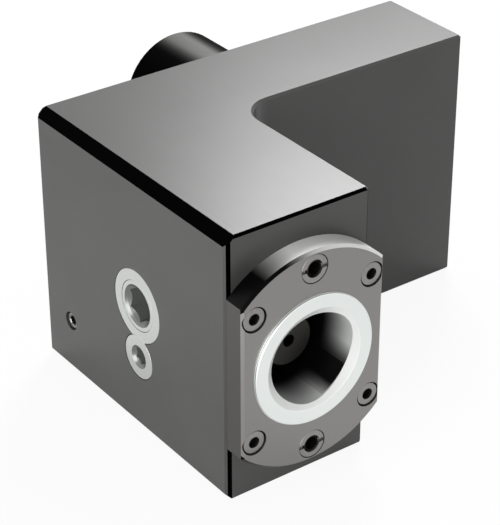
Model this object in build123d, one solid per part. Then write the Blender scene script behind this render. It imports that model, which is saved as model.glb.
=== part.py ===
from build123d import *
import os
from math import asin, atan, cos, degrees, pi, radians, sin, sqrt, tan

# Turret clamping unit: an L-shaped block with a cylindrical shank for the turret at the back, and a
# three-lobed tapered polygon coupling at the front left, clamped by six segments, a drawbar and a cam.
# Millimetres. The origin is the centre of the shank on the contact face, +Y runs back along the shank,
# +X to the right and +Z up, as seen by someone who faces the coupling.
# Inside the coupling the places are depths behind the block's front face, measured on its own axis.

# Block
body_width = 134.0
body_height = 85.0
body_depth = 95.0
head_width = 48.0  # the part that reaches forward and carries the coupling
leg_depth = 35.0  # front to back, behind the inner corner
inner_corner_radius = 10.0
shank_to_right_side = 44.0
upper_long_chamfer = 3.0  # along the head's left side, top
lower_long_chamfer = 2.0  # along the head's left side, bottom
front_upright_chamfer = 1.5
edge_break = 0.8
cut_over = 1.0  # how far the shapes that cut run past a surface

# Shank, nominal size 40
shank_diameter = 40.0
shank_length = 63.0
shank_end_chamfer = 2.0
shank_seal_place = 5.5  # groove centre behind the contact face
rack_start = 18.0
rack_pitch = 5.0
rack_teeth = 6
rack_tip_height = 17.6  # from the shank's axis
rack_tooth_depth = 2.4
rack_flat_share = 0.2  # of the pitch, on the tip and again at the root

# Coupling flange
flange_diameter = 68.0
flange_thickness = 7.0
flange_edge_chamfer = 0.8
ring_diameter = 40.0  # ground contact face
ring_height = 0.8
ring_edge_break = 0.2
polygon_mean_diameter = 28.0
polygon_eccentricity = 0.9
polygon_depth = 24.0
polygon_taper = 1.0 / 20.0  # on the diameter
polygon_lobe_angle = 30.0  # of the first lobe, from +X towards +Z
polygon_arcs = 18  # its outline in arcs, true to 0.001 mm
lead_in_diameter = 31.8
lead_in_slope = 1.5  # radius for each millimetre of depth
spigot_diameter = 38.0
spigot_length = 24.0
tool_end_gap = 1.0  # behind a seated cutting unit
location_clearance = 0.01
bolt_circle = 56.0
screw_count = 4
screw_diameter = 4.0
screw_head_diameter = 7.0
screw_head_height = 4.0
screw_hex = 3.0
screw_hex_depth = 2.0
screw_edge_break = 0.3
screw_grip = 10.0  # thread engaged in the block
screw_tip_room = 1.0  # behind a screw's end
screw_hole_clearance = 0.2
counterbore_clearance = 0.4
counterbore_extra_depth = 0.3
thread_clearance = 0.02
dowel_diameter = 3.0
dowel_length = 8.0
dowel_in_flange = 3.8
dowel_angle = 67.5
dowel_edge_break = 0.3

# Coolant nozzles
nozzle_place = 28.5  # from the coupling's axis, up and down
nozzle_seat_diameter = 9.0
nozzle_seat_depth = 4.2
nozzle_seat_recess = 0.1
nozzle_seat_edge_break = 0.3
nozzle_ball_diameter = 6.4
nozzle_ball_depth = 3.0
nozzle_ball_bore = 4.0
nozzle_opening_diameter = 5.4
ball_clearance = 0.1
seat_slot_width = 1.2
seat_slot_depth = 0.8

# Coolant drillings
drilling_diameter = 4.0
gallery_diameter = 5.0
gallery_depth_place = 81.4  # behind the block's front face
gallery_height = -24.1
plug_diameter = 6.0
plug_length = 7.0
plug_recess = 0.6
plug_hex = 3.0
plug_hex_depth = 3.5
plug_edge_break = 0.3
inlet_place = -20.0  # across, from the shank's axis
inlet_diameter = 6.0

# Seal rings: the section's diameter for each
shank_seal_section = 2.4
inlet_seal_section = 1.5
flange_seal_section = 1.0
drawbar_seal_section = 2.4
cam_seal_section = 1.5
spring_ring_section = 1.5
seal_groove_extra = 0.5  # groove wider than the ring
seal_bed_clearance = 0.05

# Drawbar
drawbar_diameter = 26.0
running_clearance = 0.03
drawbar_face_depth = 4.2  # its front face, released
drawbar_head_diameter = 16.0
drawbar_head_land = 3.0
drawbar_neck_diameter = 11.0
drawbar_neck_flare = 1.8  # 45 degrees, where the neck meets the guide
drawbar_bore = 3.8
drawbar_rear_land = 13.8  # behind the cam window
drawbar_seal_back = 3.3  # groove centre ahead of the rear end
drawbar_end_gap = 1.0  # behind it when clamped
drawbar_edge_break = 0.6

# Segments and their cage
segment_count = 6
segment_gap = 2.2  # between neighbours when clamped
segment_tilt = 5.5  # degrees, between clamped and released
segment_lip_diameter = 20.4  # clamped
segment_lip_depth = 9.5  # the lip's front face
segment_lip_width = 2.7
segment_lip_chamfer = 0.6
segment_grip_width = 1.2  # sloping back of the lip
segment_stem_diameter = 17.4
segment_collar_diameter = 22.5
segment_collar_width = 4.6
segment_pivot_depth = 27.0
segment_inner_chamfer = 1.5
part_gap = 0.3
wedge_gap = 0.28
collar_seat_gap = 0.1
cage_diameter = 30.0
cage_length = 7.0
cage_wall = 1.8
cage_floor = 1.5

# Cam, its bush, stop and retaining screw
cam_depth = 44.0
cam_base = 4.5  # shortest reach of the lobe from the cam's axis
drawbar_stroke = 3.0
cam_turn = 160.0  # degrees, from released to clamped
cam_start = 8.0  # degrees of the rise that are passed at rest
cam_lobe_points = 12  # along each flank
cam_side_clearance = 0.05  # lobe to window, each side
cam_window_height = 16.4
cam_journal_diameter = 16.0
cam_end_recess = 0.2
cam_bush_diameter = 23.0
cam_bush_length = 6.6
cam_bush_recess = 0.1
cam_bush_edge_break = 0.2
cam_shoulder_diameter = 19.0
cam_shoulder_width = 2.2
cam_shoulder_gap = 0.1
cam_lobe_end = 36.0  # from the head's left side
cam_tip_diameter = 8.4
cam_tip_length = 7.5
cam_tip_gap = 0.5
cam_edge_break = 0.2
cam_hex = 10.0
cam_hex_depth = 6.0
cam_countersink_diameter = 13.2
cam_seal_place = 4.6  # groove centre from the left side
stop_pin_diameter = 3.0
stop_pin_length = 6.0
stop_pin_place = 9.6  # from the cam's axis, straight up
stop_pin_slack = 1.0  # degrees at each end
stop_track_clearance = 0.2
lock_screw_place = 17.3  # below the cam's axis
lock_head_diameter = 14.0
lock_head_height = 4.0
lock_head_clearance = 0.1
lock_screw_diameter = 8.0
lock_screw_length = 12.0
lock_hex = 5.0
lock_hex_depth = 3.0
lock_countersink_diameter = 7.4

# Places worked out from the sizes above
left_side = shank_to_right_side - body_width
right_side = shank_to_right_side
front_face = -body_depth
half_height = body_height / 2
coupling_x = left_side + head_width / 2
coupling = Pos(coupling_x, front_face, 0)
bolt_radius = bolt_circle / 2
ring_face = -flange_thickness - ring_height
polygon_end = ring_face + polygon_depth
collar_front = polygon_end + tool_end_gap
cage_end = spigot_length + cage_length
cam_rise = drawbar_stroke / radians(cam_turn)  # millimetres for each radian
left = -head_width / 2  # the head's left side, from the coupling's axis
from_end = (Align.CENTER, Align.CENTER, Align.MIN)


def rod_x(radius, start, end, y=0.0, z=0.0):
    """A round bar along X."""
    return Pos(start, y, z) * Rot(0, 90, 0) * Cylinder(radius, end - start, align=from_end)


def rod_y(radius, start, end, x=0.0, z=0.0):
    """A round bar along Y."""
    return Pos(x, start, z) * Rot(-90, 0, 0) * Cylinder(radius, end - start, align=from_end)


def rod_z(radius, start, end, x=0.0, y=0.0):
    """A round bar along Z."""
    return Pos(x, y, start) * Cylinder(radius, end - start, align=from_end)


def turned_y(outline):
    """A turned piece about Y, from (radius, depth) corners."""
    return revolve(make_face(Polyline(*outline, close=True)), Axis.Y)


def turned_x(outline):
    """A turned piece about X, from (along, radius) corners."""
    return revolve(make_face(Polyline(*outline, close=True)), Axis.X)


def hexagon_x(across_flats, start, end, y=0.0, z=0.0):
    """A hexagonal bar along X."""
    profile = RegularPolygon(across_flats / 2, 6, major_radius=False)
    return Pos(start, y, z) * Rot(0, 90, 0) * extrude(profile, end - start)


def hexagon_y(across_flats, start, end, x=0.0, z=0.0):
    """A hexagonal bar along Y."""
    profile = RegularPolygon(across_flats / 2, 6, major_radius=False)
    return Pos(x, start, z) * Rot(-90, 0, 0) * extrude(profile, end - start)


def countersink_x(radius, start):
    """A 45 degree countersink along X, from its rim inwards to half its radius."""
    return turned_x(
        [
            (start - cut_over, 0),
            (start - cut_over, radius + cut_over),
            (start + radius / 2, radius / 2),
            (start + radius / 2, 0),
        ]
    )


def seal_ring_y(centre_radius, section, depth, x=0.0, z=0.0):
    """A rubber ring about an axis along Y, squeezed to a square section as it sits in its groove."""
    half = section / 2
    ring = rod_y(centre_radius + half, depth - half, depth + half, x, z)
    return ring - rod_y(centre_radius - half, depth - half, depth + half, x, z)


def polar(radius, angle):
    """A place on a circle, from its radius and the angle in degrees."""
    return radius * cos(radians(angle)), radius * sin(radians(angle))


# Across and up from the coupling's axis
screw_places = [polar(bolt_radius, 45 + i * 360 / screw_count) for i in range(screw_count)]
dowel_places = [polar(bolt_radius, dowel_angle + i * 180) for i in range(2)]
nozzle_places = [(0.0, nozzle_place), (0.0, -nozzle_place)]


def polygon_point(angle, mean_diameter, depth):
    """A point of the polygon's outline: a circle of the mean diameter with second and fourth harmonics."""
    e = polygon_eccentricity
    u = mean_diameter / 2 * cos(angle) - e * cos(2 * angle) + e / 2 * cos(4 * angle)
    v = mean_diameter / 2 * sin(angle) + e * sin(2 * angle) + e / 2 * sin(4 * angle)
    turn = radians(polygon_lobe_angle - 60)  # the formula's first lobe is at 60 degrees
    return u * cos(turn) - v * sin(turn), depth, u * sin(turn) + v * cos(turn)


def polygon_wire(mean_diameter, depth):
    """The polygon's closed outline, as arcs that each pass through three of its points."""
    step = 2 * pi / polygon_arcs
    arcs = []
    for i in range(polygon_arcs):
        through = [polygon_point((i + share) * step, mean_diameter, depth) for share in (0, 0.5, 1)]
        arcs.append(ThreePointArc(*through))
    return Wire(arcs)


def polygon_socket():
    """The space for the tapered polygon shank, with its lead-in cone at the mouth."""
    narrow = polygon_mean_diameter - polygon_depth * polygon_taper
    ends = [polygon_wire(polygon_mean_diameter, ring_face), polygon_wire(narrow, polygon_end)]
    mouth = lead_in_diameter / 2
    cone = turned_y(
        [
            (0, ring_face - cut_over),
            (mouth + cut_over * lead_in_slope, ring_face - cut_over),
            (0, ring_face + mouth / lead_in_slope),
        ]
    )
    relief = rod_y(narrow / 2 + polygon_eccentricity, polygon_end, collar_front)
    return Part() + Solid.make_loft(ends, True) + cone + relief


def make_shank():
    """The cylindrical shank with its end chamfer, seal groove and clamping rack."""
    radius = shank_diameter / 2
    # The seam of the round face lies at the bottom, where the rack takes it away.
    shank = Rot(0, 90, 0) * rod_y(radius, -edge_break, shank_length)
    end_edge = shank.edges().filter_by(GeomType.CIRCLE).sort_by(Axis.Y)[-1]
    shank = chamfer(end_edge, shank_end_chamfer)
    half_groove = (shank_seal_section + seal_groove_extra) / 2
    bed = radius - shank_seal_section - 2 * seal_bed_clearance
    shank -= turned_y(
        [
            (bed, shank_seal_place - half_groove),
            (radius + cut_over, shank_seal_place - half_groove),
            (radius + cut_over, shank_seal_place + half_groove),
            (bed, shank_seal_place + half_groove),
        ]
    )
    flat = rack_pitch * rack_flat_share
    flank = (rack_pitch - 2 * flat) / 2
    tip = -rack_tip_height
    root = tip + rack_tooth_depth
    line = [(rack_start, -radius - cut_over), (rack_start, tip)]
    for i in range(rack_teeth):
        y = rack_start + i * rack_pitch
        line += [(y + flat, tip), (y + flat + flank, root)]
        line += [(y + 2 * flat + flank, root), (y + rack_pitch, tip)]
    end = rack_start + rack_teeth * rack_pitch + flat
    line += [(end, tip), (end, -radius - cut_over)]
    profile = Plane.YZ * make_face(Polyline(*line, close=True))
    return shank - extrude(profile, radius + cut_over, both=True)


def make_block():
    """The L-shaped block, before its bores."""
    inner_y = -leg_depth
    head_right = left_side + head_width
    corners = [
        (left_side, front_face),
        (head_right, front_face),
        (head_right, inner_y),
        (right_side, inner_y),
        (right_side, 0),
        (left_side, 0),
    ]
    plan = make_face(Polyline(*corners, close=True))
    block = Pos(0, 0, -half_height) * extrude(plan, body_height)
    uprights = block.edges().filter_by(Axis.Z)
    inner = uprights.sort_by_distance((head_right, inner_y, 0))[0]
    block = fillet(inner, inner_corner_radius)
    uprights = block.edges().filter_by(Axis.Z)
    front_left = uprights.sort_by_distance((left_side, front_face, 0))[0]
    block = chamfer(front_left, front_upright_chamfer)
    for corner in (corners[1], corners[3], corners[4], corners[5]):
        edge = block.edges().filter_by(Axis.Z).sort_by_distance((*corner, 0))[0]
        block = chamfer(edge, edge_break)
    for side in (Axis.Z, -Axis.Z):
        rim = block.faces().sort_by(side)[-1].edges()
        block = chamfer(rim, edge_break)
    block -= long_wedge(upper_long_chamfer, 1)
    block -= long_wedge(lower_long_chamfer, -1)
    return block


def long_wedge(size, side):
    """What a chamfer along the head's upper (1) or lower (-1) left edge takes off."""
    over = size  # how far the wedge stands out of the block
    z = side * half_height
    corners = [
        (left_side - over, z - side * (size + over)),
        (left_side + size + over, z + side * over),
        (left_side - over, z + side * over),
    ]
    # The XZ plane's normal points forward, so the wedge is drawn at the back and grows forward.
    profile = Plane.XZ * make_face(Polyline(*corners, close=True))
    return Pos(0, over, 0) * extrude(profile, body_depth + 2 * over)


def make_body():
    """Block and shank in one piece, with every bore and drilling."""
    block = make_block() + make_shank()
    block -= coupling * coupling_bores()
    block -= coupling * cam_bores()
    gallery_y = front_face + gallery_depth_place
    block -= rod_x(gallery_diameter / 2, left_side, inlet_place, gallery_y, gallery_height)
    plug_end = plug_recess + plug_length
    block -= rod_x(plug_diameter / 2, left_side - cut_over, left_side + plug_end, gallery_y, gallery_height)
    block -= rod_z(gallery_diameter / 2, -half_height, nozzle_place, coupling_x, gallery_y)
    block -= rod_z(plug_diameter / 2, -half_height - cut_over, -half_height + plug_end, coupling_x, gallery_y)
    block -= rod_y(inlet_diameter / 2, gallery_y, cut_over, inlet_place, gallery_height)
    recess = inlet_diameter / 2 + inlet_seal_section + 2 * seal_groove_extra
    block -= rod_y(recess, -inlet_seal_section, cut_over, inlet_place, gallery_height)
    return block


def coupling_bores():
    """All that is bored from the front, in the coupling's own place."""
    spigot = spigot_diameter / 2 + location_clearance
    bores = rod_y(spigot, -cut_over, spigot_length + part_gap)
    bores += rod_y(cage_diameter / 2, 0, cage_end)
    stroke_end = drawbar_rear_end() + drawbar_stroke + drawbar_end_gap
    bores += rod_y(drawbar_diameter / 2 + running_clearance, 0, stroke_end)
    bores += rod_y(gallery_diameter / 2, 0, gallery_depth_place)
    for x, z in screw_places:
        bores += rod_y(screw_diameter / 2, -cut_over, screw_grip + screw_tip_room, x, z)
    for x, z in dowel_places:
        bores += rod_y(dowel_diameter / 2, -cut_over, dowel_length - dowel_in_flange, x, z)
    for x, z in nozzle_places:
        bores += rod_y(drilling_diameter / 2, -cut_over, gallery_depth_place, x, z)
        recess = drilling_diameter / 2 + flange_seal_section + 2 * seal_groove_extra
        bores += rod_y(recess, -cut_over, flange_seal_section, x, z)
    return bores


def cam_bores():
    """All that is bored from the left side for the cam, in the coupling's own place."""
    y = cam_depth
    bush_floor = left + cam_bush_recess + cam_bush_length
    shoulder_floor = bush_floor + cam_shoulder_width + 2 * cam_shoulder_gap
    bores = rod_x(cam_bush_diameter / 2 + location_clearance, left - cut_over, bush_floor, y)
    bores += rod_x(cam_shoulder_diameter / 2 + cam_shoulder_gap, left, shoulder_floor, y)
    lobe_end = left + cam_lobe_end
    bores += rod_x(cam_journal_diameter / 2 + cam_shoulder_gap, left, lobe_end + cam_shoulder_gap, y)
    tip_end = lobe_end + cam_tip_length + cam_tip_gap
    bores += rod_x(cam_tip_diameter / 2 + running_clearance, left, tip_end, y)
    bores += rod_x(stop_pin_diameter / 2, left, bush_floor + stop_pin_length, y, stop_pin_place)
    head = lock_head_diameter / 2 + lock_head_clearance
    head_floor = left + lock_head_height + cam_bush_recess
    lock_end = head_floor + lock_screw_length + screw_tip_room
    bores += rod_x(head, left - cut_over, head_floor, y, -lock_screw_place)
    bores += rod_x(lock_screw_diameter / 2, left, lock_end, y, -lock_screw_place)
    return bores


def make_flange():
    """The coupling flange: plate with two flats, ground ring, polygon socket and rear spigot."""
    disc = rod_y(flange_diameter / 2, -flange_thickness, 0)
    plate = disc & Pos(0, -flange_thickness / 2, 0) * Box(head_width, flange_thickness, flange_diameter)
    plate = chamfer(plate.faces().sort_by(Axis.Y)[0].edges(), flange_edge_chamfer)
    ring = rod_y(ring_diameter / 2, ring_face, 0)
    ring = chamfer(ring.edges().filter_by(GeomType.CIRCLE).sort_by(Axis.Y)[0], ring_edge_break)
    spigot = rod_y(spigot_diameter / 2, -edge_break, spigot_length)
    spigot = chamfer(spigot.edges().filter_by(GeomType.CIRCLE).sort_by(Axis.Y)[-1], edge_break)
    flange = plate + ring + spigot
    flange -= polygon_socket()
    stem_room = segment_stem_diameter / 2 + part_gap
    flange -= rod_y(stem_room, polygon_end, spigot_length + cut_over)
    hole = screw_diameter / 2 + screw_hole_clearance
    sink = screw_head_diameter / 2 + counterbore_clearance
    floor = -flange_thickness + screw_head_height + counterbore_extra_depth
    for x, z in screw_places:
        flange -= rod_y(hole, -flange_thickness - cut_over, cut_over, x, z)
        flange -= rod_y(sink, -flange_thickness - cut_over, floor, x, z)
    for x, z in dowel_places:
        flange -= rod_y(dowel_diameter / 2, -dowel_in_flange, cut_over, x, z)
    for x, z in nozzle_places:
        flange -= Pos(x, -flange_thickness, z) * nozzle_pocket()
    return coupling * flange


def nozzle_pocket():
    """The stepped hole for one nozzle, from the flange's front face backwards."""
    seat = nozzle_seat_diameter / 2
    reach = nozzle_ball_diameter / 2 + ball_clearance
    # A 45 degree cone just behind the ball, closing on the passage.
    narrow = drilling_diameter / 2
    cone_end = nozzle_ball_depth + reach * sqrt(2) - narrow
    cone_wide = narrow + cone_end - nozzle_seat_depth
    return turned_y(
        [
            (0, -cut_over),
            (seat, -cut_over),
            (seat, nozzle_seat_depth),
            (cone_wide, nozzle_seat_depth),
            (narrow, cone_end),
            (narrow, flange_thickness + cut_over),
            (0, flange_thickness + cut_over),
        ]
    )


def make_screw():
    """One socket head cap screw along Y, its head's front face at the flange's counterbore."""
    seat = -flange_thickness + screw_head_height + counterbore_extra_depth
    top = seat - screw_head_height
    head = rod_y(screw_head_diameter / 2, top, seat)
    head = chamfer(head.edges().filter_by(GeomType.CIRCLE).sort_by(Axis.Y)[0], screw_edge_break)
    shank = rod_y(screw_diameter / 2 - thread_clearance, seat, screw_grip)
    screw = head + shank
    return screw - hexagon_y(screw_hex, top - cut_over, top + screw_hex_depth)


def make_nozzle_seat():
    """The threaded ring that holds a nozzle ball, with two slots for a pin spanner."""
    outer = nozzle_seat_diameter / 2 - thread_clearance
    opening = nozzle_opening_diameter / 2
    reach = nozzle_ball_diameter / 2 + ball_clearance
    ring = rod_y(outer, nozzle_seat_recess, nozzle_seat_depth)
    ring = chamfer(ring.edges().filter_by(GeomType.CIRCLE).sort_by(Axis.Y)[0], nozzle_seat_edge_break)
    # A 45 degree cone just ahead of the ball, from the opening out to the ball's room.
    cone_start = nozzle_ball_depth - reach * sqrt(2) + opening
    ring -= turned_y(
        [
            (0, -cut_over),
            (opening, -cut_over),
            (opening, cone_start),
            (reach, cone_start + reach - opening),
            (reach, nozzle_seat_depth + cut_over),
            (0, nozzle_seat_depth + cut_over),
        ]
    )
    slot = Box(nozzle_seat_diameter, seat_slot_depth, seat_slot_width)
    return ring - Pos(0, nozzle_seat_recess + seat_slot_depth / 2, 0) * slot


def make_nozzle_ball():
    """A drilled ball that aims the coolant."""
    ball = Sphere(nozzle_ball_diameter / 2)
    ball -= rod_y(nozzle_ball_bore / 2, -nozzle_ball_diameter, nozzle_ball_diameter)
    return Pos(0, nozzle_ball_depth, 0) * ball


def cam_reach(angle):
    """How far the lobe reaches in a direction, in radians from +Y towards +Z, at the start of its rise."""
    turned = angle % (2 * pi)
    return cam_base + cam_rise * min(turned, 2 * pi - turned)


def window_front_reach():
    """The window's front face ahead of the cam's axis, released."""
    return cam_reach(pi - radians(cam_start)) + cam_side_clearance


def window_back_reach():
    """The window's back face behind the cam's axis, released."""
    return cam_reach(-radians(cam_start)) + cam_side_clearance


def drawbar_rear_end():
    """The depth of the drawbar's rear end, released."""
    return cam_depth + window_back_reach() + drawbar_rear_land


def wedge_slope():
    """The head cone's rise for each millimetre along the drawbar, to match the segments' tilt."""
    lever = segment_pivot_depth - segment_lip_depth - segment_lip_width / 2
    return lever * sin(radians(segment_tilt)) / drawbar_stroke


def make_drawbar():
    """The drawbar, released: head with its rear cone, neck, guide with the cam window."""
    head = drawbar_head_diameter / 2
    neck = drawbar_neck_diameter / 2
    guide = drawbar_diameter / 2
    land_end = drawbar_face_depth + drawbar_head_land
    cone_end = land_end + (head - neck) / wedge_slope()
    shoulder = cage_end + part_gap
    rear = drawbar_rear_end()
    outline = [
        (0, drawbar_face_depth),
        (head - drawbar_edge_break, drawbar_face_depth),
        (head, drawbar_face_depth + drawbar_edge_break),
        (head, land_end),
        (neck, cone_end),
        (neck, shoulder - drawbar_neck_flare),
        (neck + drawbar_neck_flare, shoulder),
        (guide - drawbar_edge_break, shoulder),
        (guide, shoulder + drawbar_edge_break),
        (guide, rear - drawbar_edge_break),
        (guide - drawbar_edge_break, rear),
        (0, rear),
    ]
    bar = turned_y(outline)
    front = cam_depth - window_front_reach()
    back = cam_depth + window_back_reach()
    window = Box(drawbar_diameter + cut_over, back - front, cam_window_height)
    bar -= Pos(0, (front + back) / 2, 0) * window
    bar -= rod_y(drawbar_bore / 2, drawbar_face_depth - cut_over, rear + cut_over)
    seal = rear - drawbar_seal_back
    half_groove = (drawbar_seal_section + seal_groove_extra) / 2
    bed = guide - drawbar_seal_section - seal_bed_clearance
    bar -= turned_y(
        [
            (bed, seal - half_groove),
            (guide + cut_over, seal - half_groove),
            (guide + cut_over, seal + half_groove),
            (bed, seal + half_groove),
        ]
    )
    return coupling * bar


def make_drawbar_seal():
    """The ring in the drawbar's rear land."""
    centre = drawbar_diameter / 2 - drawbar_seal_section / 2 - seal_bed_clearance / 2
    return coupling * seal_ring_y(centre, drawbar_seal_section, drawbar_rear_end() - drawbar_seal_back)


def segment_outline():
    """Half a section of the ring of segments, clamped, as (radius, depth) corners."""
    lip = segment_lip_diameter / 2
    stem = segment_stem_diameter / 2
    collar = segment_collar_diameter / 2
    front = segment_lip_depth
    lip_end = front + segment_lip_width
    stem_start = lip_end + segment_grip_width
    collar_start = spigot_length + collar_seat_gap
    collar_end = collar_start + segment_collar_width
    slope = wedge_slope()
    # The head's cone, clamped, raised by the gap: radius falls by the slope from the land's end.
    land_end = drawbar_face_depth + drawbar_head_land + drawbar_stroke
    wedge_zero = drawbar_head_diameter / 2 + wedge_gap + slope * land_end
    # The stem's inside opens towards the front, so that it lies along the neck when released.
    tilt = tan(radians(segment_tilt))
    inner = drawbar_neck_diameter / 2 + part_gap
    stem_zero = inner + tilt * segment_pivot_depth
    meet = (wedge_zero - stem_zero) / (slope - tilt)
    chamfer_start = collar_end - segment_inner_chamfer
    return [
        (wedge_zero - slope * front, front),
        (lip - segment_lip_chamfer, front),
        (lip, front + segment_lip_chamfer),
        (lip, lip_end),
        (stem, stem_start),
        (stem, collar_start),
        (collar, collar_start),
        (collar, collar_end),
        (inner + segment_inner_chamfer, collar_end),
        (inner, chamfer_start),
        (stem_zero - tilt * meet, meet),
    ]


def make_segment(index):
    """One clamping segment, released: a sixth of the ring, tilted inwards about its collar."""
    ring = turned_y(segment_outline())
    half_angle = radians(180 / segment_count)
    apex = segment_gap / 2 / sin(half_angle)
    reach = segment_collar_diameter
    corners = [
        (apex, 0),
        (apex + reach, -reach * tan(half_angle)),
        (apex + reach, reach * tan(half_angle)),
    ]
    sector = Plane.XZ * make_face(Polyline(*corners, close=True))
    piece = ring & extrude(sector, -cage_end)
    pivot = Axis((segment_collar_diameter / 2, segment_pivot_depth, 0), (0, 0, 1))
    piece = piece.rotate(pivot, -segment_tilt)
    return coupling * Rot(0, -index * 360 / segment_count, 0) * piece


def make_spring_ring():
    """The elastic ring round the segments' collars, in the plane that they tilt about."""
    centre = segment_collar_diameter / 2 + spring_ring_section / 2 + collar_seat_gap
    return coupling * seal_ring_y(centre, spring_ring_section, segment_pivot_depth)


def make_cage():
    """The ring behind the spigot that holds the segments' collars."""
    outer = cage_diameter / 2 - location_clearance
    inner = outer - cage_wall
    hole = drawbar_head_diameter / 2 + part_gap
    outline = [
        (inner, spigot_length),
        (outer, spigot_length),
        (outer, cage_end),
        (hole, cage_end),
        (hole, cage_end - cage_floor),
        (inner, cage_end - cage_floor),
    ]
    return coupling * turned_y(outline)


def cam_lobe():
    """The lobe's outline at rest, on the YZ plane: equal breadth in every direction of its working turn."""
    # The reach grows evenly with the angle, so the drawbar moves evenly with the cam. A point on the
    # outline is the reach along the direction plus the rise across it.
    tip = pi - atan(cam_rise / (cam_base + cam_rise * pi))
    upper = []
    lower = []
    for i in range(cam_lobe_points + 1):
        angle = tip * i / cam_lobe_points
        reach = cam_base + cam_rise * angle
        y = reach * cos(angle) - cam_rise * sin(angle)
        z = reach * sin(angle) + cam_rise * cos(angle)
        if i == cam_lobe_points:
            z = 0.0
        upper.append((y, z))
        lower.append((y, -z))
    outline = make_face([Spline(*upper), Spline(*lower), Line(upper[0], lower[0])])
    return outline.rotate(Axis.Z, cam_start)


def make_cam_shaft():
    """The cam shaft at rest: socket end, journal, stop shoulder, lobe and tip."""
    start = left + cam_end_recess
    shoulder_start = left + cam_bush_recess + cam_bush_length + cam_shoulder_gap
    shoulder_end = shoulder_start + cam_shoulder_width
    lobe_end = left + cam_lobe_end
    journal = cam_journal_diameter / 2 - running_clearance
    shaft = rod_x(journal, start, shoulder_end)
    shaft = chamfer(shaft.edges().filter_by(GeomType.CIRCLE).sort_by(Axis.X)[0], cam_edge_break)
    shoulder = rod_x(cam_shoulder_diameter / 2, shoulder_start, shoulder_end)
    shaft += shoulder - stop_track(shoulder_start, shoulder_end)
    lobe = Plane.YZ * cam_lobe()
    shaft += Pos(shoulder_end, 0, 0) * extrude(lobe, lobe_end - shoulder_end)
    tip = rod_x(cam_tip_diameter / 2, lobe_end, lobe_end + cam_tip_length)
    shaft += chamfer(tip.edges().filter_by(GeomType.CIRCLE).sort_by(Axis.X)[-1], 2 * cam_edge_break)
    shaft -= hexagon_x(cam_hex, start - cut_over, start + cam_hex_depth)
    sink = cam_countersink_diameter / 2
    shaft -= countersink_x(sink, start)
    half_groove = (cam_seal_section + seal_groove_extra) / 2
    bed = journal - cam_seal_section + seal_bed_clearance
    seal = left + cam_seal_place
    shaft -= turned_x(
        [
            (seal - half_groove, bed),
            (seal + half_groove, bed),
            (seal + half_groove, journal + cut_over),
            (seal - half_groove, journal + cut_over),
        ]
    )
    return coupling * Pos(0, cam_depth, 0) * shaft


def stop_track(start, end):
    """What is cut from the shoulder's rim so that it turns past the stop pin, at rest."""
    inner = stop_pin_place - stop_pin_diameter / 2 - stop_track_clearance
    half_pin = degrees(asin(stop_pin_diameter / 2 / stop_pin_place)) + stop_pin_slack
    # The pin stands straight up. The cam turns from +Y towards +Z, so the track runs back from the pin.
    first = 90 - cam_turn - half_pin
    sweep = cam_turn + 2 * half_pin
    outer = cam_shoulder_diameter / 2 + cut_over
    profile = make_face([
        CenterArc((0, 0), outer, first, sweep),
        CenterArc((0, 0), inner, first, sweep),
        Line(polar(inner, first), polar(outer, first)),
        Line(polar(inner, first + sweep), polar(outer, first + sweep)),
    ])
    return Pos(start - cut_over, 0, 0) * extrude(Plane.YZ * profile, end - start + 2 * cut_over)


def make_cam_bush():
    """The bush round the cam's journal, bitten by the retaining screw's head."""
    outer = cam_bush_diameter / 2
    start = left + cam_bush_recess
    bush = rod_x(outer, start, start + cam_bush_length)
    bush = chamfer(bush.edges().filter_by(GeomType.CIRCLE).sort_by(Axis.X)[0], cam_bush_edge_break)
    bush -= rod_x(cam_journal_diameter / 2, start - cut_over, start + cam_bush_length + cut_over)
    head = lock_head_diameter / 2 + lock_head_clearance
    bush -= rod_x(head, start - cut_over, start + lock_head_height, 0, -lock_screw_place)
    return coupling * Pos(0, cam_depth, 0) * bush


def make_cam_seal():
    """The ring in the cam's journal."""
    outer = cam_journal_diameter / 2 - running_clearance
    start = left + cam_seal_place - cam_seal_section / 2
    ring = rod_x(outer, start, start + cam_seal_section, cam_depth)
    bed = outer - cam_seal_section + 2 * seal_bed_clearance
    return coupling * (ring - rod_x(bed, start, start + cam_seal_section, cam_depth))


def make_stop_pin():
    """The pin that ends the cam's turn both ways."""
    start = left + cam_bush_recess + cam_bush_length
    return coupling * rod_x(stop_pin_diameter / 2, start, start + stop_pin_length, cam_depth, stop_pin_place)


def make_lock_screw():
    """The low-head screw that keeps the cam bush in."""
    start = left + cam_bush_recess
    head = rod_x(lock_head_diameter / 2, start, start + lock_head_height)
    head = chamfer(head.edges().filter_by(GeomType.CIRCLE).sort_by(Axis.X)[0], cam_bush_edge_break)
    seat = start + lock_head_height
    screw = head + rod_x(lock_screw_diameter / 2 - thread_clearance, seat, seat + lock_screw_length)
    screw -= hexagon_x(lock_hex, start - cut_over, start + lock_hex_depth)
    sink = lock_countersink_diameter / 2
    screw -= countersink_x(sink, start)
    return coupling * Pos(0, cam_depth, -lock_screw_place) * screw


def make_plug():
    """A set screw along X, from 0 inwards, with its hexagon socket at 0."""
    plug = rod_x(plug_diameter / 2 - thread_clearance, 0, plug_length)
    plug = chamfer(plug.edges().filter_by(GeomType.CIRCLE), plug_edge_break)
    return plug - hexagon_x(plug_hex, -cut_over, plug_hex_depth)


def make_group(make, places):
    """The same piece at several places on the coupling's face, as separate solids."""
    return Compound([coupling * Pos(x, 0, z) * make() for x, z in places])


def make_dowel():
    """A dowel pin along Y, across the joint of flange and block."""
    pin = rod_y(dowel_diameter / 2 - thread_clearance, -dowel_in_flange, dowel_length - dowel_in_flange)
    return chamfer(pin.edges().filter_by(GeomType.CIRCLE), dowel_edge_break)


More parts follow.
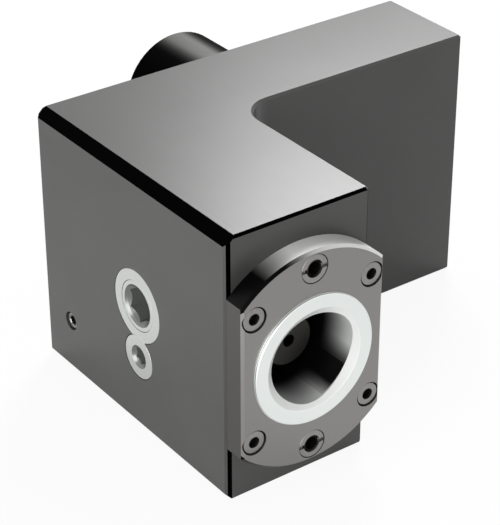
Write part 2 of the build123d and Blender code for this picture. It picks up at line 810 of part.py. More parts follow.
def make_flange_seal():
    """A ring round a coolant drilling, in its recess in the block's front face."""
    centre = drilling_diameter / 2 + seal_groove_extra + flange_seal_section / 2
    return seal_ring_y(centre, flange_seal_section, flange_seal_section / 2)


gallery_y = front_face + gallery_depth_place
gallery_place = Pos(left_side + plug_recess, gallery_y, gallery_height)
riser_place = Pos(coupling_x, gallery_y, -half_height + plug_recess) * Rot(0, -90, 0)
inlet_ring_y = -inlet_seal_section / 2
inlet_ring = inlet_diameter / 2 + seal_groove_extra + inlet_seal_section / 2
shank_ring = shank_diameter / 2 - shank_seal_section / 2 - seal_bed_clearance

pieces = {
    "body": make_body(),
    "coupling_flange": make_flange(),
    "flange_screws": make_group(make_screw, screw_places),
    "flange_dowels": make_group(make_dowel, dowel_places),
    "flange_seal_rings": make_group(make_flange_seal, nozzle_places),
    "segment_cage": make_cage(),
    "segment_spring_ring": make_spring_ring(),
    "drawbar": make_drawbar(),
    "drawbar_seal": make_drawbar_seal(),
    "cam_shaft": make_cam_shaft(),
    "cam_seal": make_cam_seal(),
    "cam_bush": make_cam_bush(),
    "cam_stop_pin": make_stop_pin(),
    "cam_retaining_screw": make_lock_screw(),
    "gallery_plug": gallery_place * make_plug(),
    "riser_plug": riser_place * make_plug(),
    "inlet_seal_ring": seal_ring_y(inlet_ring, inlet_seal_section, inlet_ring_y, inlet_place, gallery_height),
    "shank_seal_ring": seal_ring_y(shank_ring, shank_seal_section, shank_seal_place),
}
for i in range(segment_count):
    pieces[f"segment_{i + 1}"] = make_segment(i)
for name, (x, z) in zip(("upper", "lower"), nozzle_places):
    place = coupling * Pos(x, -flange_thickness, z)
    pieces[f"nozzle_seat_{name}"] = place * make_nozzle_seat()
    pieces[f"nozzle_ball_{name}"] = place * make_nozzle_ball()

os.makedirs("parts", exist_ok=True)
for name, piece in pieces.items():
    export_step(piece, f"parts/{name}.step")
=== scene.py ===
import math

import bmesh
import bpy
import numpy as np
from mathutils import Matrix, Vector


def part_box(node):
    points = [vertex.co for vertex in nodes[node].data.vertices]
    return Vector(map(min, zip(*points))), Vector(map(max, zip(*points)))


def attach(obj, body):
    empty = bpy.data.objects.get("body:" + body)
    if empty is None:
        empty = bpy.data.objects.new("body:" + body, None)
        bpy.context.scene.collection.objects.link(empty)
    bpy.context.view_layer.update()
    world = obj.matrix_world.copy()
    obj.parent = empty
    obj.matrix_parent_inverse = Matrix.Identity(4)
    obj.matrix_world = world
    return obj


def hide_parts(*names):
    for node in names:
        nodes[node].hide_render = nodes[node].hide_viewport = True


# Turret clamping unit: finishes, small detail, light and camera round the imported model.
# The frame is in metres. Names that end in Mm hold millimetres, and so do the sets of screws and rings.

mm = 0.001
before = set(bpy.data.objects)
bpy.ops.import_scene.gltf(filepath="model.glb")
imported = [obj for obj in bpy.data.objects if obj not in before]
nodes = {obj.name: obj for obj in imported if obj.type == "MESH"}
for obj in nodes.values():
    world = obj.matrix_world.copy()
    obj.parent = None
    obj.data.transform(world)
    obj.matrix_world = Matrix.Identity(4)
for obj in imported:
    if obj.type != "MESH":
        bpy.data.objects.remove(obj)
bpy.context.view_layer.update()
print("frame loaded,", len(nodes), "nodes")

# Places that the finishes and the pieces follow, read from the frame
flangeLow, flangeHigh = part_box("coupling_flange")
bushLow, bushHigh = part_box("cam_bush")
lockLow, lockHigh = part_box("cam_retaining_screw")
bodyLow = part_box("body")[0]
couplingX = (flangeLow.x + flangeHigh.x) / 2
camY = (bushLow.y + bushHigh.y) / 2
lockZ = (lockLow.z + lockHigh.z) / 2
frontY = bodyLow.y
ringY = flangeLow.y


# A colour as #rrggbb, turned from sRGB to linear light.
def linearColour(text):
    parts = [int(text[i:i + 2], 16) / 255 for i in (1, 3, 5)]
    return tuple(c / 12.92 if c <= 0.04045 else ((c + 0.055) / 1.055) ** 2.4 for c in parts) + (1.0,)


# Adds one node, sets its properties and its sockets, and joins the sockets that are given another socket.
def addNode(tree, kind, sockets=None, **settings):
    node = tree.nodes.new("ShaderNode" + kind)
    for name, value in settings.items():
        setattr(node, name, value)
    for name, value in (sockets or {}).items():
        if isinstance(value, bpy.types.NodeSocket):
            tree.links.new(value, node.inputs[name])
        else:
            node.inputs[name].default_value = value
    return node


# Distance from an axis through centre, and the place along it. Axis is 0, 1 or 2 for X, Y or Z.
def cylinderPlace(tree, centre, axis):
    place = addNode(tree, "TexCoord").outputs["Object"]
    across = [0.0 if i == axis else 1.0 for i in range(3)]
    offset = addNode(tree, "VectorMath", {0: place, 1: centre}, operation="SUBTRACT").outputs[0]
    flat = addNode(tree, "VectorMath", {0: offset, 1: across}, operation="MULTIPLY").outputs[0]
    radius = addNode(tree, "VectorMath", {0: flat}, operation="LENGTH").outputs["Value"]
    along = addNode(tree, "VectorMath", {0: place, 1: [1.0 - c for c in across]}, operation="DOT_PRODUCT")
    return radius, along.outputs["Value"]


# Rings from a lathe or a face grinder: one-way noise over radius plus place along, counted in pitches.
def turnedLay(tree, centre, axis, pitchMm):
    radius, along = cylinderPlace(tree, centre, axis)
    far = addNode(tree, "Math", {0: radius, 1: along}, operation="ADD").outputs[0]
    steps = addNode(tree, "Math", {0: far, 1: 1 / (pitchMm * mm)}, operation="MULTIPLY").outputs[0]
    noiseSockets = {"W": steps, "Scale": 1.0, "Detail": 2.0}
    return addNode(tree, "TexNoise", noiseSockets, noise_dimensions="1D").outputs[0]


# Straight lines from a grinding wheel: noise drawn out along one axis.
def groundLay(tree, along, pitchMm, stretch):
    place = addNode(tree, "TexCoord").outputs["Object"]
    scale = [1 / (pitchMm * mm)] * 3
    scale[along] /= stretch
    moved = addNode(tree, "Mapping", {"Vector": place, "Scale": scale}).outputs[0]
    return addNode(tree, "TexNoise", {"Vector": moved, "Scale": 1.0, "Detail": 3.0}).outputs[0]


# Soft clouds of a size, such as an oxide bath or handling leaves.
def cloudy(tree, sizeMm, detail=2.0):
    place = addNode(tree, "TexCoord").outputs["Object"]
    noiseSockets = {"Vector": place, "Scale": 1 / (sizeMm * mm), "Detail": detail}
    return addNode(tree, "TexNoise", noiseSockets).outputs[0]


# A new material with its tree emptied down to the output and one Principled shader.
def startMaterial(name):
    material = bpy.data.materials.new(name)
    material.use_nodes = True
    tree = material.node_tree
    tree.nodes.clear()
    shader = addNode(tree, "BsdfPrincipled")
    addNode(tree, "OutputMaterial", {"Surface": shader.outputs[0]})
    return material, tree, shader


# Lays colours over a base, each by its mask or pattern from 0 to 1: base * (1 - mask) + colour * mask.
# A colour is #rrggbb or another node's socket.
def layColours(tree, base, layers):
    for mask, over in layers:
        base, over = (linearColour(c) if isinstance(c, str) else c for c in (base, over))
        base = addNode(tree, "Mix", {0: mask, 6: base, 7: over}, data_type="RGBA").outputs[2]
    return base


# Roughness that wanders between two ends, and a height in millimetres, both from one pattern. Where a
# mask is given, the roughness there goes to its own value.
def surfaceFrom(tree, shader, pattern, roughness, heightMm, mask=None, maskedRoughness=0.0):
    low, high = roughness
    rough = addNode(tree, "MapRange", {"Value": pattern, "To Min": low, "To Max": high}).outputs[0]
    if mask:
        maskSockets = {"Value": mask, "To Min": rough, "To Max": maskedRoughness}
        rough = addNode(tree, "MapRange", maskSockets).outputs[0]
    bump = addNode(tree, "Bump", {"Height": pattern, "Distance": heightMm * mm}).outputs[0]
    tree.links.new(rough, shader.inputs["Roughness"])
    tree.links.new(bump, shader.inputs["Normal"])


# How squarely the surface faces a direction: the cosine of the angle between them.
def facing(tree, direction):
    normal = addNode(tree, "TexCoord").outputs["Normal"]
    return addNode(tree, "VectorMath", {0: normal, 1: direction}, operation="DOT_PRODUCT").outputs["Value"]


squareOn = 0.97  # cosine above which a surface counts as facing a direction


# From 0 to 1 as the surface turns towards a direction, between the two cosines of a span.
def facingFade(tree, direction, span, shape="LINEAR"):
    fadeSockets = {"Value": facing(tree, direction), "From Min": span[0], "From Max": span[1]}
    return addNode(tree, "MapRange", fadeSockets, interpolation_type=shape).outputs[0]


# 1 past a plane, which stands square to a direction at a distance from the origin, else 0.
def pastPlane(tree, direction, distance):
    place = addNode(tree, "TexCoord").outputs["Object"]
    depth = addNode(tree, "VectorMath", {0: place, 1: direction}, operation="DOT_PRODUCT").outputs["Value"]
    return addNode(tree, "Math", {0: depth, 1: distance}, operation="GREATER_THAN").outputs[0]


# Joins masks or plain shares into one: their product, or with MAXIMUM the largest of them.
def joinMasks(tree, masks, operation="MULTIPLY"):
    joined = masks[0]
    for mask in masks[1:]:
        joined = addNode(tree, "Math", {0: joined, 1: mask}, operation=operation).outputs[0]
    return joined


# 1 where the surface faces a direction and lies past a plane, else 0.
def facingMask(tree, direction, planeDirection, distance):
    turned = facing(tree, direction)
    faces = addNode(tree, "Math", {0: turned, 1: squareOn}, operation="GREATER_THAN").outputs[0]
    return joinMasks(tree, [faces, pastPlane(tree, planeDirection, distance)])


# Black-oxide steel: milled and ground faces from a hot black bath. The eye sees a charcoal satin skin,
# slightly clouded, that turns pale where a lamp glances off it. Four of the broken edges are painted
# black as shade, and the shank is painted greyer along its top as a sheen and black down both of its
# sides as painted shade.
oxideSet = {
    "colour": "#383937",
    "cloudColour": "#434442",
    "shankSheenColour": "#5a5a58",
    "paintedShadeColour": "#020202",
    "roughness": (0.33, 0.38),
    "paintedShadeRoughness": 1.0,
    "cloudMm": 22.0,
    "layMm": 0.9,  # real grinding lines are finer than a pixel, so these are coarse enough to show
    "layStretch": 40.0,
    "layHeightMm": 0.0011,
    "headMm": 40.0,  # black edges of the head lie within this of its front
    "uprightLineMm": 0.9,  # the left front one is black only as a line this near the front
    "shankStartMm": 1.0,  # behind the block's rear face, which is at zero
    "shankShadeBearing": (-0.866, 0.0, 0.5),  # the shank's side with the wider painted shade, which fades softly round it
    "shankShadeSpan": (0.55, 0.85),
    "shankFarShadeBearing": (0.707, 0.0, 0.707),  # its other side, where the painted shade is narrower
    "shankFarShadeSpan": (0.70, 0.95),
}


def blackOxideSteel():
    material, tree, shader = startMaterial("blackOxideSteel")
    clouds = cloudy(tree, oxideSet["cloudMm"])
    lay = groundLay(tree, 1, oxideSet["layMm"], oxideSet["layStretch"])
    skin = layColours(tree, oxideSet["colour"], [(clouds, oxideSet["cloudColour"])])
    # The long upper left chamfer, the head's upper front one and its two front upright ones, all painted
    # black as shade
    half = math.sqrt(0.5)
    head = -(frontY + oxideSet["headMm"] * mm)
    line = -(frontY + oxideSet["uprightLineMm"] * mm)
    edges = [
        facingMask(tree, (-half, 0, half), (0, 0, 1), 0),
        facingMask(tree, (0, -half, half), (0, -1, 0), head),
        facingMask(tree, (-half, -half, 0), (0, -1, 0), line),
        facingMask(tree, (half, -half, 0), (0, -1, 0), head),
    ]
    shank = pastPlane(tree, (0, 1, 0), oxideSet["shankStartMm"] * mm)
    edgeSockets = {0: joinMasks(tree, edges, "MAXIMUM"), 1: shank}
    edge = addNode(tree, "Math", edgeSockets, operation="SUBTRACT", use_clamp=True).outputs[0]
    # Painted shade down both sides of the shank, wider on its left side
    shankShade = facingFade(tree, oxideSet["shankShadeBearing"], oxideSet["shankShadeSpan"], "SMOOTHSTEP")
    shankFarShade = facingFade(tree, oxideSet["shankFarShadeBearing"], oxideSet["shankFarShadeSpan"], "SMOOTHSTEP")
    black = oxideSet["paintedShadeColour"]
    # The shank's greyer colour shows along its top as a painted sheen
    shankShadedPaint = layColours(tree, oxideSet["shankSheenColour"], [(shankFarShade, black), (shankShade, black)])
    colour = layColours(tree, skin, [(shank, shankShadedPaint), (edge, black)])
    tree.links.new(colour, shader.inputs["Base Color"])
    # As a metal the painted black of these places has no pale gloss over it
    metal = joinMasks(tree, [edge, shank], "MAXIMUM")
    tree.links.new(metal, shader.inputs["Metallic"])
    sides = joinMasks(tree, [joinMasks(tree, [shankShade, shankFarShade], "MAXIMUM"), shank])
    dull = joinMasks(tree, [edge, sides], "MAXIMUM")
    dullness = oxideSet["paintedShadeRoughness"]
    surfaceFrom(tree, shader, lay, oxideSet["roughness"], oxideSet["layHeightMm"], dull, dullness)
    return material


# Hardened steel, case-hardened and fine-turned or ground. The eye sees a mid-grey metal with soft
# reflections on the flange and a bright silvery contact ring. The rim is painted dark as shade, with a
# painted highlight of pale scattering grey at its upper right, where its broken front edge is pale too,
# and elsewhere that edge is painted black as shade. The milled flats are darker, and the ground bore goes
# from bright at its mouth to nearly black, as painted shade, where the segments lie.
flangeSet = {
    "colour": "#8d8b89",
    "ringColour": "#eaeeec",
    "rimShadeColour": "#1a1a1a",
    "rimHighlightColour": "#eeeeec",
    "rimEdgeShadeColour": "#0c0c0c",
    "flatColour": "#5a5957",
    "boreColour": "#e4e6e4",
    "boreShadeColour": "#060606",
    "roughness": (0.34, 0.42),
    "boreMetal": 0.35,  # a ground wall scatters more than it mirrors, and the rim's painted highlight more still
    "rimHighlightMetal": 0.1,
    "pitchMm": 0.5,  # real turning is finer than a pixel, so this is coarse enough to show
    "heightMm": 0.0012,
    "ringRadiusMm": 20.05,
    "boreRadiusMm": 15.6,
    "rimRadiusMm": 33.0,
    "flatReachMm": 0.05,  # how near its full width the flange counts as one of its flats
    "slopedEdge": 0.25,  # the broken edge faces the front at least this much, as a cosine
    "rimHighlightBearing": (0.6, 0.0, 0.8),  # from the flange's middle towards the stretch of its rim with the painted highlight
    "rimHighlightSpan": (0.42, 0.70),
    "edgeShadeSpan": (0.55, 0.40),
    "shadeFromDepthMm": 0.5,  # behind the ring's face
    "shadeFullDepthMm": 14.5,
    "shadeBearing": (-0.75, 0.0, 0.66),  # where the bore's lower right wall faces, dark with painted shade
    "shadeSpan": (0.86, 0.98),
    "shadeStart": 0.02,  # the wall's painted shade starts where the bore has gone this share of the way to dark
}


# The rim at each point of the flange: 1 on its round side and its broken edge, how far into its painted
# highlight it is, and 1 on the stretch of the broken edge that is painted black as shade.
def rimMasks(tree, radius):
    front = facing(tree, (0, -1, 0))
    rimRadius = flangeSet["rimRadiusMm"] * mm
    outer = addNode(tree, "Math", {0: radius, 1: rimRadius}, operation="GREATER_THAN").outputs[0]
    level = addNode(tree, "Math", {0: front, 1: squareOn}, operation="GREATER_THAN").outputs[0]
    rim = addNode(tree, "Math", {0: outer, 1: level}, operation="SUBTRACT", use_clamp=True).outputs[0]
    slope = addNode(tree, "Math", {0: front, 1: flangeSet["slopedEdge"]}, operation="GREATER_THAN").outputs[0]
    rimHighlight = facingFade(tree, flangeSet["rimHighlightBearing"], flangeSet["rimHighlightSpan"])
    black = facingFade(tree, flangeSet["rimHighlightBearing"], flangeSet["edgeShadeSpan"])
    return rim, rimHighlight, joinMasks(tree, [rim, slope, black])


# 1 on the two flats: distance from the flange's middle plane, against half its width.
def flatMask(tree):
    place = addNode(tree, "TexCoord").outputs["Object"]
    across = addNode(tree, "SeparateXYZ", {0: place}).outputs[0]
    away = addNode(tree, "Math", {0: across, 1: couplingX}, operation="SUBTRACT").outputs[0]
    spread = addNode(tree, "Math", {0: away}, operation="ABSOLUTE").outputs[0]
    limit = (flangeHigh.x - flangeLow.x) / 2 - flangeSet["flatReachMm"] * mm
    return addNode(tree, "Math", {0: spread, 1: limit}, operation="GREATER_THAN").outputs[0]


# The bore's colour: bright at its mouth and painted dark as shade at its depth, with painted shade on one
# wall behind the lead-in.
def borePaint(tree, along):
    start, end = (ringY + flangeSet[name] * mm for name in ("shadeFromDepthMm", "shadeFullDepthMm"))
    deepSockets = {"Value": along, "From Min": start, "From Max": end}
    depthShade = addNode(tree, "MapRange", deepSockets, interpolation_type="SMOOTHSTEP").outputs[0]
    shade = facingFade(tree, flangeSet["shadeBearing"], flangeSet["shadeSpan"])
    throat = addNode(tree, "Math", {0: depthShade, 1: flangeSet["shadeStart"]}, operation="GREATER_THAN").outputs[0]
    wallShade = joinMasks(tree, [shade, throat])
    dark = flangeSet["boreShadeColour"]
    return layColours(tree, flangeSet["boreColour"], [(depthShade, dark), (wallShade, dark)])


def hardenedSteel():
    material, tree, shader = startMaterial("hardenedSteel")
    centre = (couplingX, 0.0, 0.0)
    lay = turnedLay(tree, centre, 1, flangeSet["pitchMm"])
    radius, along = cylinderPlace(tree, centre, 1)
    rim, rimHighlight, edge = rimMasks(tree, radius)
    ringRadius, boreRadius = (flangeSet[name] * mm for name in ("ringRadiusMm", "boreRadiusMm"))
    ring = addNode(tree, "Math", {0: radius, 1: ringRadius}, operation="LESS_THAN").outputs[0]
    bore = addNode(tree, "Math", {0: radius, 1: boreRadius}, operation="LESS_THAN").outputs[0]
    # Painted shade and a painted highlight on the rim, painted black shade on part of its edge, painted shade
    # in the bore
    colour = layColours(tree, flangeSet["colour"], [
        (rim, layColours(tree, flangeSet["rimShadeColour"], [(rimHighlight, flangeSet["rimHighlightColour"])])),
        (edge, flangeSet["rimEdgeShadeColour"]),
        (flatMask(tree), flangeSet["flatColour"]),
        (ring, flangeSet["ringColour"]),
        (bore, borePaint(tree, along)),
    ])
    tree.links.new(colour, shader.inputs["Base Color"])
    metalSockets = {"Value": bore, "To Min": 1.0, "To Max": flangeSet["boreMetal"]}
    metal = addNode(tree, "MapRange", metalSockets).outputs[0]
    metalSockets = {"Value": joinMasks(tree, [rim, rimHighlight]), "To Min": metal, "To Max": flangeSet["rimHighlightMetal"]}
    metal = addNode(tree, "MapRange", metalSockets).outputs[0]
    tree.links.new(metal, shader.inputs["Metallic"])
    surfaceFrom(tree, shader, lay, flangeSet["roughness"], flangeSet["heightMm"])
    return material


# Ground steel: cylindrically ground and lapped. The eye sees a pale bright metal with a soft sheen. The
# countersinks of the key sockets are duller, and the broached sockets are painted dark grey as shade and
# scatter the light.
groundSet = {
    "colour": "#cccecc",
    "sinkColour": "#808280",
    "socketShadeColour": "#6c6e6c",
    "socketMetal": 0.3,
    "roughness": (0.24, 0.34),
    "pitchMm": 0.4,  # coarse enough to show, as on the flange
    "heightMm": 0.001,
    "camSocketMm": 6.3,  # radius that holds the whole socket, here and in the next line
    "lockSocketMm": 3.6,
    "sinkWidthMm": 1.1,  # how far a countersink stands out from its socket
    "sinkFacing": 0.95,  # a countersink faces outwards less than this, as a cosine
    "socketDepthMm": 0.75,  # a socket's own walls start this far below the face
}


def groundSteel():
    material, tree, shader = startMaterial("groundSteel")
    lay = turnedLay(tree, (0.0, camY, 0.0), 0, groundSet["pitchMm"])
    colour = groundSet["colour"]
    metal = 1.0
    outward = facing(tree, (-1, 0, 0))
    sloped = addNode(tree, "Math", {0: outward, 1: groundSet["sinkFacing"]}, operation="LESS_THAN").outputs[0]
    wallStart = bushLow.x + groundSet["socketDepthMm"] * mm
    for z, name in ((0.0, "camSocketMm"), (lockZ, "lockSocketMm")):
        radius, along = cylinderPlace(tree, (0.0, camY, z), 0)
        socketRadius = groundSet[name] * mm
        sinkRadius = (groundSet[name] + groundSet["sinkWidthMm"]) * mm
        nearSink = addNode(tree, "Math", {0: radius, 1: sinkRadius}, operation="LESS_THAN").outputs[0]
        nearSocket = addNode(tree, "Math", {0: radius, 1: socketRadius}, operation="LESS_THAN").outputs[0]
        below = addNode(tree, "Math", {0: along, 1: wallStart}, operation="GREATER_THAN").outputs[0]
        # The socket's walls are painted dark grey as shade
        sink = joinMasks(tree, [nearSink, sloped])
        socket = joinMasks(tree, [nearSocket, below])
        layers = [(sink, groundSet["sinkColour"]), (socket, groundSet["socketShadeColour"])]
        colour = layColours(tree, colour, layers)
        metalSockets = {"Value": socket, "To Min": metal, "To Max": groundSet["socketMetal"]}
        metal = addNode(tree, "MapRange", metalSockets).outputs[0]
    tree.links.new(colour, shader.inputs["Base Color"])
    tree.links.new(metal, shader.inputs["Metallic"])
    surfaceFrom(tree, shader, lay, groundSet["roughness"], groundSet["heightMm"])
    return material


# Tool steel with a dark temper: turned, hardened and tempered, so it is brown-grey and half dull.
toolSet = {"colour": "#3c3b39", "roughness": (0.36, 0.48), "pitchMm": 0.4, "heightMm": 0.002}


def darkToolSteel():
    material, tree, shader = startMaterial("darkToolSteel")
    rings = turnedLay(tree, (couplingX, 0.0, 0.0), 1, toolSet["pitchMm"])
    shader.inputs["Base Color"].default_value = linearColour(toolSet["colour"])
    shader.inputs["Metallic"].default_value = 1.0
    surfaceFrom(tree, shader, rings, toolSet["roughness"], toolSet["heightMm"])
    return material


# Alloy screw steel, phosphated and lightly oiled: grey with a little shine and fine clouds.
screwSteelSet = {
    "colour": "#858482",
    "cloudColour": "#9d9b99",
    "roughness": (0.32, 0.46),
    "cloudMm": 1.2,
    "heightMm": 0.002,
}


def blackScrewSteel():
    material, tree, shader = startMaterial("blackScrewSteel")
    clouds = cloudy(tree, screwSteelSet["cloudMm"], 3.0)
    colour = layColours(tree, screwSteelSet["colour"], [(clouds, screwSteelSet["cloudColour"])])
    tree.links.new(colour, shader.inputs["Base Color"])
    shader.inputs["Metallic"].default_value = 1.0
    surfaceFrom(tree, shader, clouds, screwSteelSet["roughness"], screwSteelSet["heightMm"])
    return material


# Broached socket walls: painted nearly black as the shade that lies in a key socket.
socketSet = {"colour": "#0c0c0c", "gloss": 0.15, "roughness": (0.5, 0.62), "cloudMm": 0.6, "heightMm": 0.004}


def broachedSocket():
    material, tree, shader = startMaterial("broachedSocket")
    clouds = cloudy(tree, socketSet["cloudMm"], 3.0)
    shader.inputs["Base Color"].default_value = linearColour(socketSet["colour"])
    shader.inputs["Specular IOR Level"].default_value = socketSet["gloss"]
    surfaceFrom(tree, shader, clouds, socketSet["roughness"], socketSet["heightMm"])
    return material


# Nitrile rubber: moulded rings, matt black with a dusty bloom.
rubberSet = {
    "colour": "#131313",
    "bloomColour": "#242422",
    "roughness": (0.58, 0.68),
    "cloudMm": 2.0,
    "heightMm": 0.005,
}


def nitrileRubber():
    material, tree, shader = startMaterial("nitrileRubber")
    bloom = cloudy(tree, rubberSet["cloudMm"], 4.0)
    colour = layColours(tree, rubberSet["colour"], [(bloom, rubberSet["bloomColour"])])
    tree.links.new(colour, shader.inputs["Base Color"])
    surfaceFrom(tree, shader, bloom, rubberSet["roughness"], rubberSet["heightMm"])
    return material


finishes = {
    "black_oxide_steel": blackOxideSteel(),
    "hardened_steel": hardenedSteel(),
    "ground_steel": groundSteel(),
    "dark_tool_steel": darkToolSteel(),
    "black_screw_steel": blackScrewSteel(),
    "seal_rubber": nitrileRubber(),
}
socketShadeFinish = broachedSocket()
print("finishes made,", len(finishes) + 1)

# Each node takes the finish that the record's slot names.
for node in nodes.values():
    for slot in node.material_slots:
        if slot.material and slot.material.name in finishes:
            slot.material = finishes[slot.material.name]
print("nodes finished")


# A surface of rings: row k is a closed ring with radius radii[k] (one number, or one for each column) at
# depths[k] along the axis. Point = centre + depth * axis + radius * (cos(angle) * side + sin(angle) * up).
def ringSurface(centre, axis, side, up, depths, radii, columns):
    angle = np.arange(columns) * 2 * np.pi / columns
    spokes = np.outer(np.cos(angle), side) + np.outer(np.sin(angle), up)
    rows = np.stack([np.broadcast_to(r, columns) for r in radii])
    depths = np.asarray(depths, float)
    return np.asarray(centre) + depths[:, None, None] * np.asarray(axis) + rows[:, :, None] * spokes


# Axis 0, 1 or 2 as a direction, followed by the two that come after it in turn.
def directionsFrom(axis):
    return [np.eye(3)[(axis + step) % 3] for step in range(3)]


# Makes one closed mesh from ring surfaces: neighbours on the grid are joined to quads, points within a
# micrometre, as at the poles, are merged, normals point outwards, and edges sharper than the angle stay
# sharp. The first darkRows rows of faces of each surface take the socket's finish, painted dark as shade.
def makePiece(name, grids, body, slot, replaced, darkRows=0, sharpDegrees=32):
    points, quads, dark, first = [], [], [], 0
    for grid in grids:
        rows, columns = grid.shape[:2]
        index = first + np.arange(rows * columns).reshape(rows, columns)
        after = np.roll(index, -1, axis=1)
        faces = np.stack([index[:-1], after[:-1], after[1:], index[1:]], axis=-1)
        quads.append(faces.reshape(-1, 4))
        dark.append(np.repeat(np.arange(rows - 1) < darkRows, columns))
        points.append(grid.reshape(-1, 3) * mm)
        first += rows * columns
    mesh = bpy.data.meshes.new(name)
    mesh.from_pydata(np.concatenate(points), [], np.concatenate(quads))
    mesh.materials.append(finishes[slot])
    if darkRows:
        mesh.materials.append(socketShadeFinish)
        mesh.polygons.foreach_set("material_index", np.concatenate(dark).astype(np.int32))
    shape = bmesh.new()
    shape.from_mesh(mesh)
    bmesh.ops.remove_doubles(shape, verts=shape.verts, dist=mm / 1000)
    bmesh.ops.recalc_face_normals(shape, faces=shape.faces)
    shape.to_mesh(mesh)
    shape.free()
    mesh.polygons.foreach_set("use_smooth", np.ones(len(mesh.polygons), bool))
    mesh.set_sharp_from_angle(angle=math.radians(sharpDegrees))
    piece = bpy.data.objects.new(name, mesh)
    bpy.context.scene.collection.objects.link(piece)
    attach(piece, body)
    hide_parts(*replaced)
    return piece


# Radius of a hexagon at each column: half its width across flats over the cosine of the angle to the
# nearest flat's middle.
def hexRadius(acrossFlats, columns):
    angle = np.arange(columns) * 2 * np.pi / columns
    return acrossFlats / 2 / np.cos(np.mod(angle, np.pi / 3) - np.pi / 6)


# Form of a 60 degree thread. Its depth from crest to root is a share of the pitch. Its wave is drawn out
# by the stretch and lowered by the cut, so that both the crest and the root are flat.
threadSet = {"depth": 0.61, "stretch": 1.3, "cut": 0.15, "rowsPerPitch": 6}


# A thread's radius over place and angle: root + depth * wave * fade, where the wave is a triangle wave of
# (place / pitch - angle / 360 degrees) with flat ends, and the fade goes to 0 over one pitch at both ends.
def threadRows(start, length, outer, pitch, columns):
    steps = int(round(length / pitch * threadSet["rowsPerPitch"]))
    depths = start + np.linspace(0, length, steps + 1)
    turn = np.arange(columns) / columns
    phase = np.mod(depths[:, None] / pitch - turn, 1.0)
    wave = np.clip(np.abs(2 * phase - 1) * threadSet["stretch"] - threadSet["cut"], 0, 1)
    fade = np.clip(np.minimum(depths - start, start + length - depths) / pitch, 0, 1)[:, None]
    height = threadSet["depth"] * pitch
    radii = outer - height + height * wave * fade
    return list(depths), list(radii)


# A head from the rim of its face to the underside: a rounded edge, a knurled side and a broken lower
# edge. Knurled radius = head - depth * abs(sin(knurls * angle / 2)).
def headRows(screwSet):
    head, edge, height = screwSet["headRadius"], screwSet["edge"], screwSet["headHeight"]
    bend = 0.3 * edge  # the middle of the rounded edge lies this far in from both of its sides
    waves = np.sin(np.arange(screwSet["columns"]) * np.pi * screwSet["knurls"] / screwSet["columns"])
    knurled = head - screwSet["knurlDepth"] * np.abs(waves)
    depths = [0.0, bend, edge, 2 * edge, height - edge, height]
    radii = [head - edge, head - bend, head, knurled, knurled, head - edge]
    return depths, radii


# A socket screw from the socket's bottom, out over its head and down its thread to the tip.
# Depths run inwards from the head's face.
def screwGrid(screwSet, centre, axis, side, up):
    columns, tip = screwSet["columns"], screwSet["tip"]
    hexagon = hexRadius(screwSet["hex"], columns)
    mouth = screwSet["mouthRadius"]
    depth = screwSet["socketDepth"]
    depths = [depth + screwSet["drillTip"], depth, depth, mouth - screwSet["hex"] / 2, 0.0]
    radii = [0.0, screwSet["drillRadius"], hexagon, hexagon, mouth]
    shank, height = screwSet["radius"], screwSet["headHeight"]
    root = shank - threadSet["depth"] * screwSet["pitch"]
    start = height + screwSet["plain"]
    if height:
        headDepths, headRadii = headRows(screwSet)
        depths += headDepths + [height, start]
        radii += headRadii + [shank, shank]
    else:  # without a head the face ends at the thread's root
        depths += [0.0]
        radii += [root]
    end = start + screwSet["thread"]
    threadDepths, threadRadii = threadRows(start, screwSet["thread"], shank, screwSet["pitch"], columns)
    depths += threadDepths + [end + tip, end + tip]
    radii += threadRadii + [root - tip, 0.0]
    return ringSurface(centre, axis, side, up, depths, radii, columns)


# Cap screws of the flange: M4 socket heads, knurled, with the hexagon's socket painted dark as shade.
flangeScrewSet = {
    "columns": 96,
    "hex": 3.0,  # across the socket's flats
    "socketDepth": 2.0,
    "drillRadius": 1.25,
    "drillTip": 0.65,  # the drill's cone below the socket
    "mouthRadius": 1.75,  # of the 45 degree countersink at the face
    "headRadius": 3.5,
    "headHeight": 4.0,
    "edge": 0.3,
    "knurls": 24,
    "knurlDepth": 0.09,
    "radius": 1.98,
    "pitch": 0.7,
    "plain": 0.6,  # shank without thread under the head
    "thread": 11.8,
    "tip": 0.3,  # chamfer at the thread's end
    "spread": 19.8,  # from the flange's middle to a screw, across and up
}


def makeFlangeScrews():
    spread = flangeScrewSet["spread"]
    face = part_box("flange_screws")[0].y / mm
    grids = []
    for x in (-spread, spread):
        for z in (-spread, spread):
            centre = (couplingX / mm + x, face, z)
            grids.append(screwGrid(flangeScrewSet, centre, (0, 1, 0), (1, 0, 0), (0, 0, 1)))
    makePiece("flangeScrews", grids, "housing", "black_screw_steel", ["flange_screws"], darkRows=4)


# Set screws that close the coolant drillings: M6, a hexagon socket and no head.
plugSet = {
    "columns": 96,
    "hex": 3.0,
    "socketDepth": 3.5,
    "drillRadius": 1.25,
    "drillTip": 0.6,
    "mouthRadius": 1.8,
    "headHeight": 0.0,
    "radius": 2.97,
    "pitch": 1.0,
    "plain": 0.0,
    "thread": 6.5,
    "tip": 0.5,
}


# A set screw in its node's place, with its socket at the node's low end along the axis.
def makePlug(name, node, axis):
    low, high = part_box(node)
    centre = np.array((low + high) / 2 / mm)
    centre[axis] = low[axis] / mm
    grid = screwGrid(plugSet, centre, *directionsFrom(axis))
    makePiece(name, [grid], "housing", "black_screw_steel", [node], darkRows=3)


# Moulded rings. Their flash is a fine line where the two halves of the mould met.
rubberRingSet = {"flash": 0.04, "flashWidth": 0.12, "sectionSteps": 40, "sharpDegrees": 60}


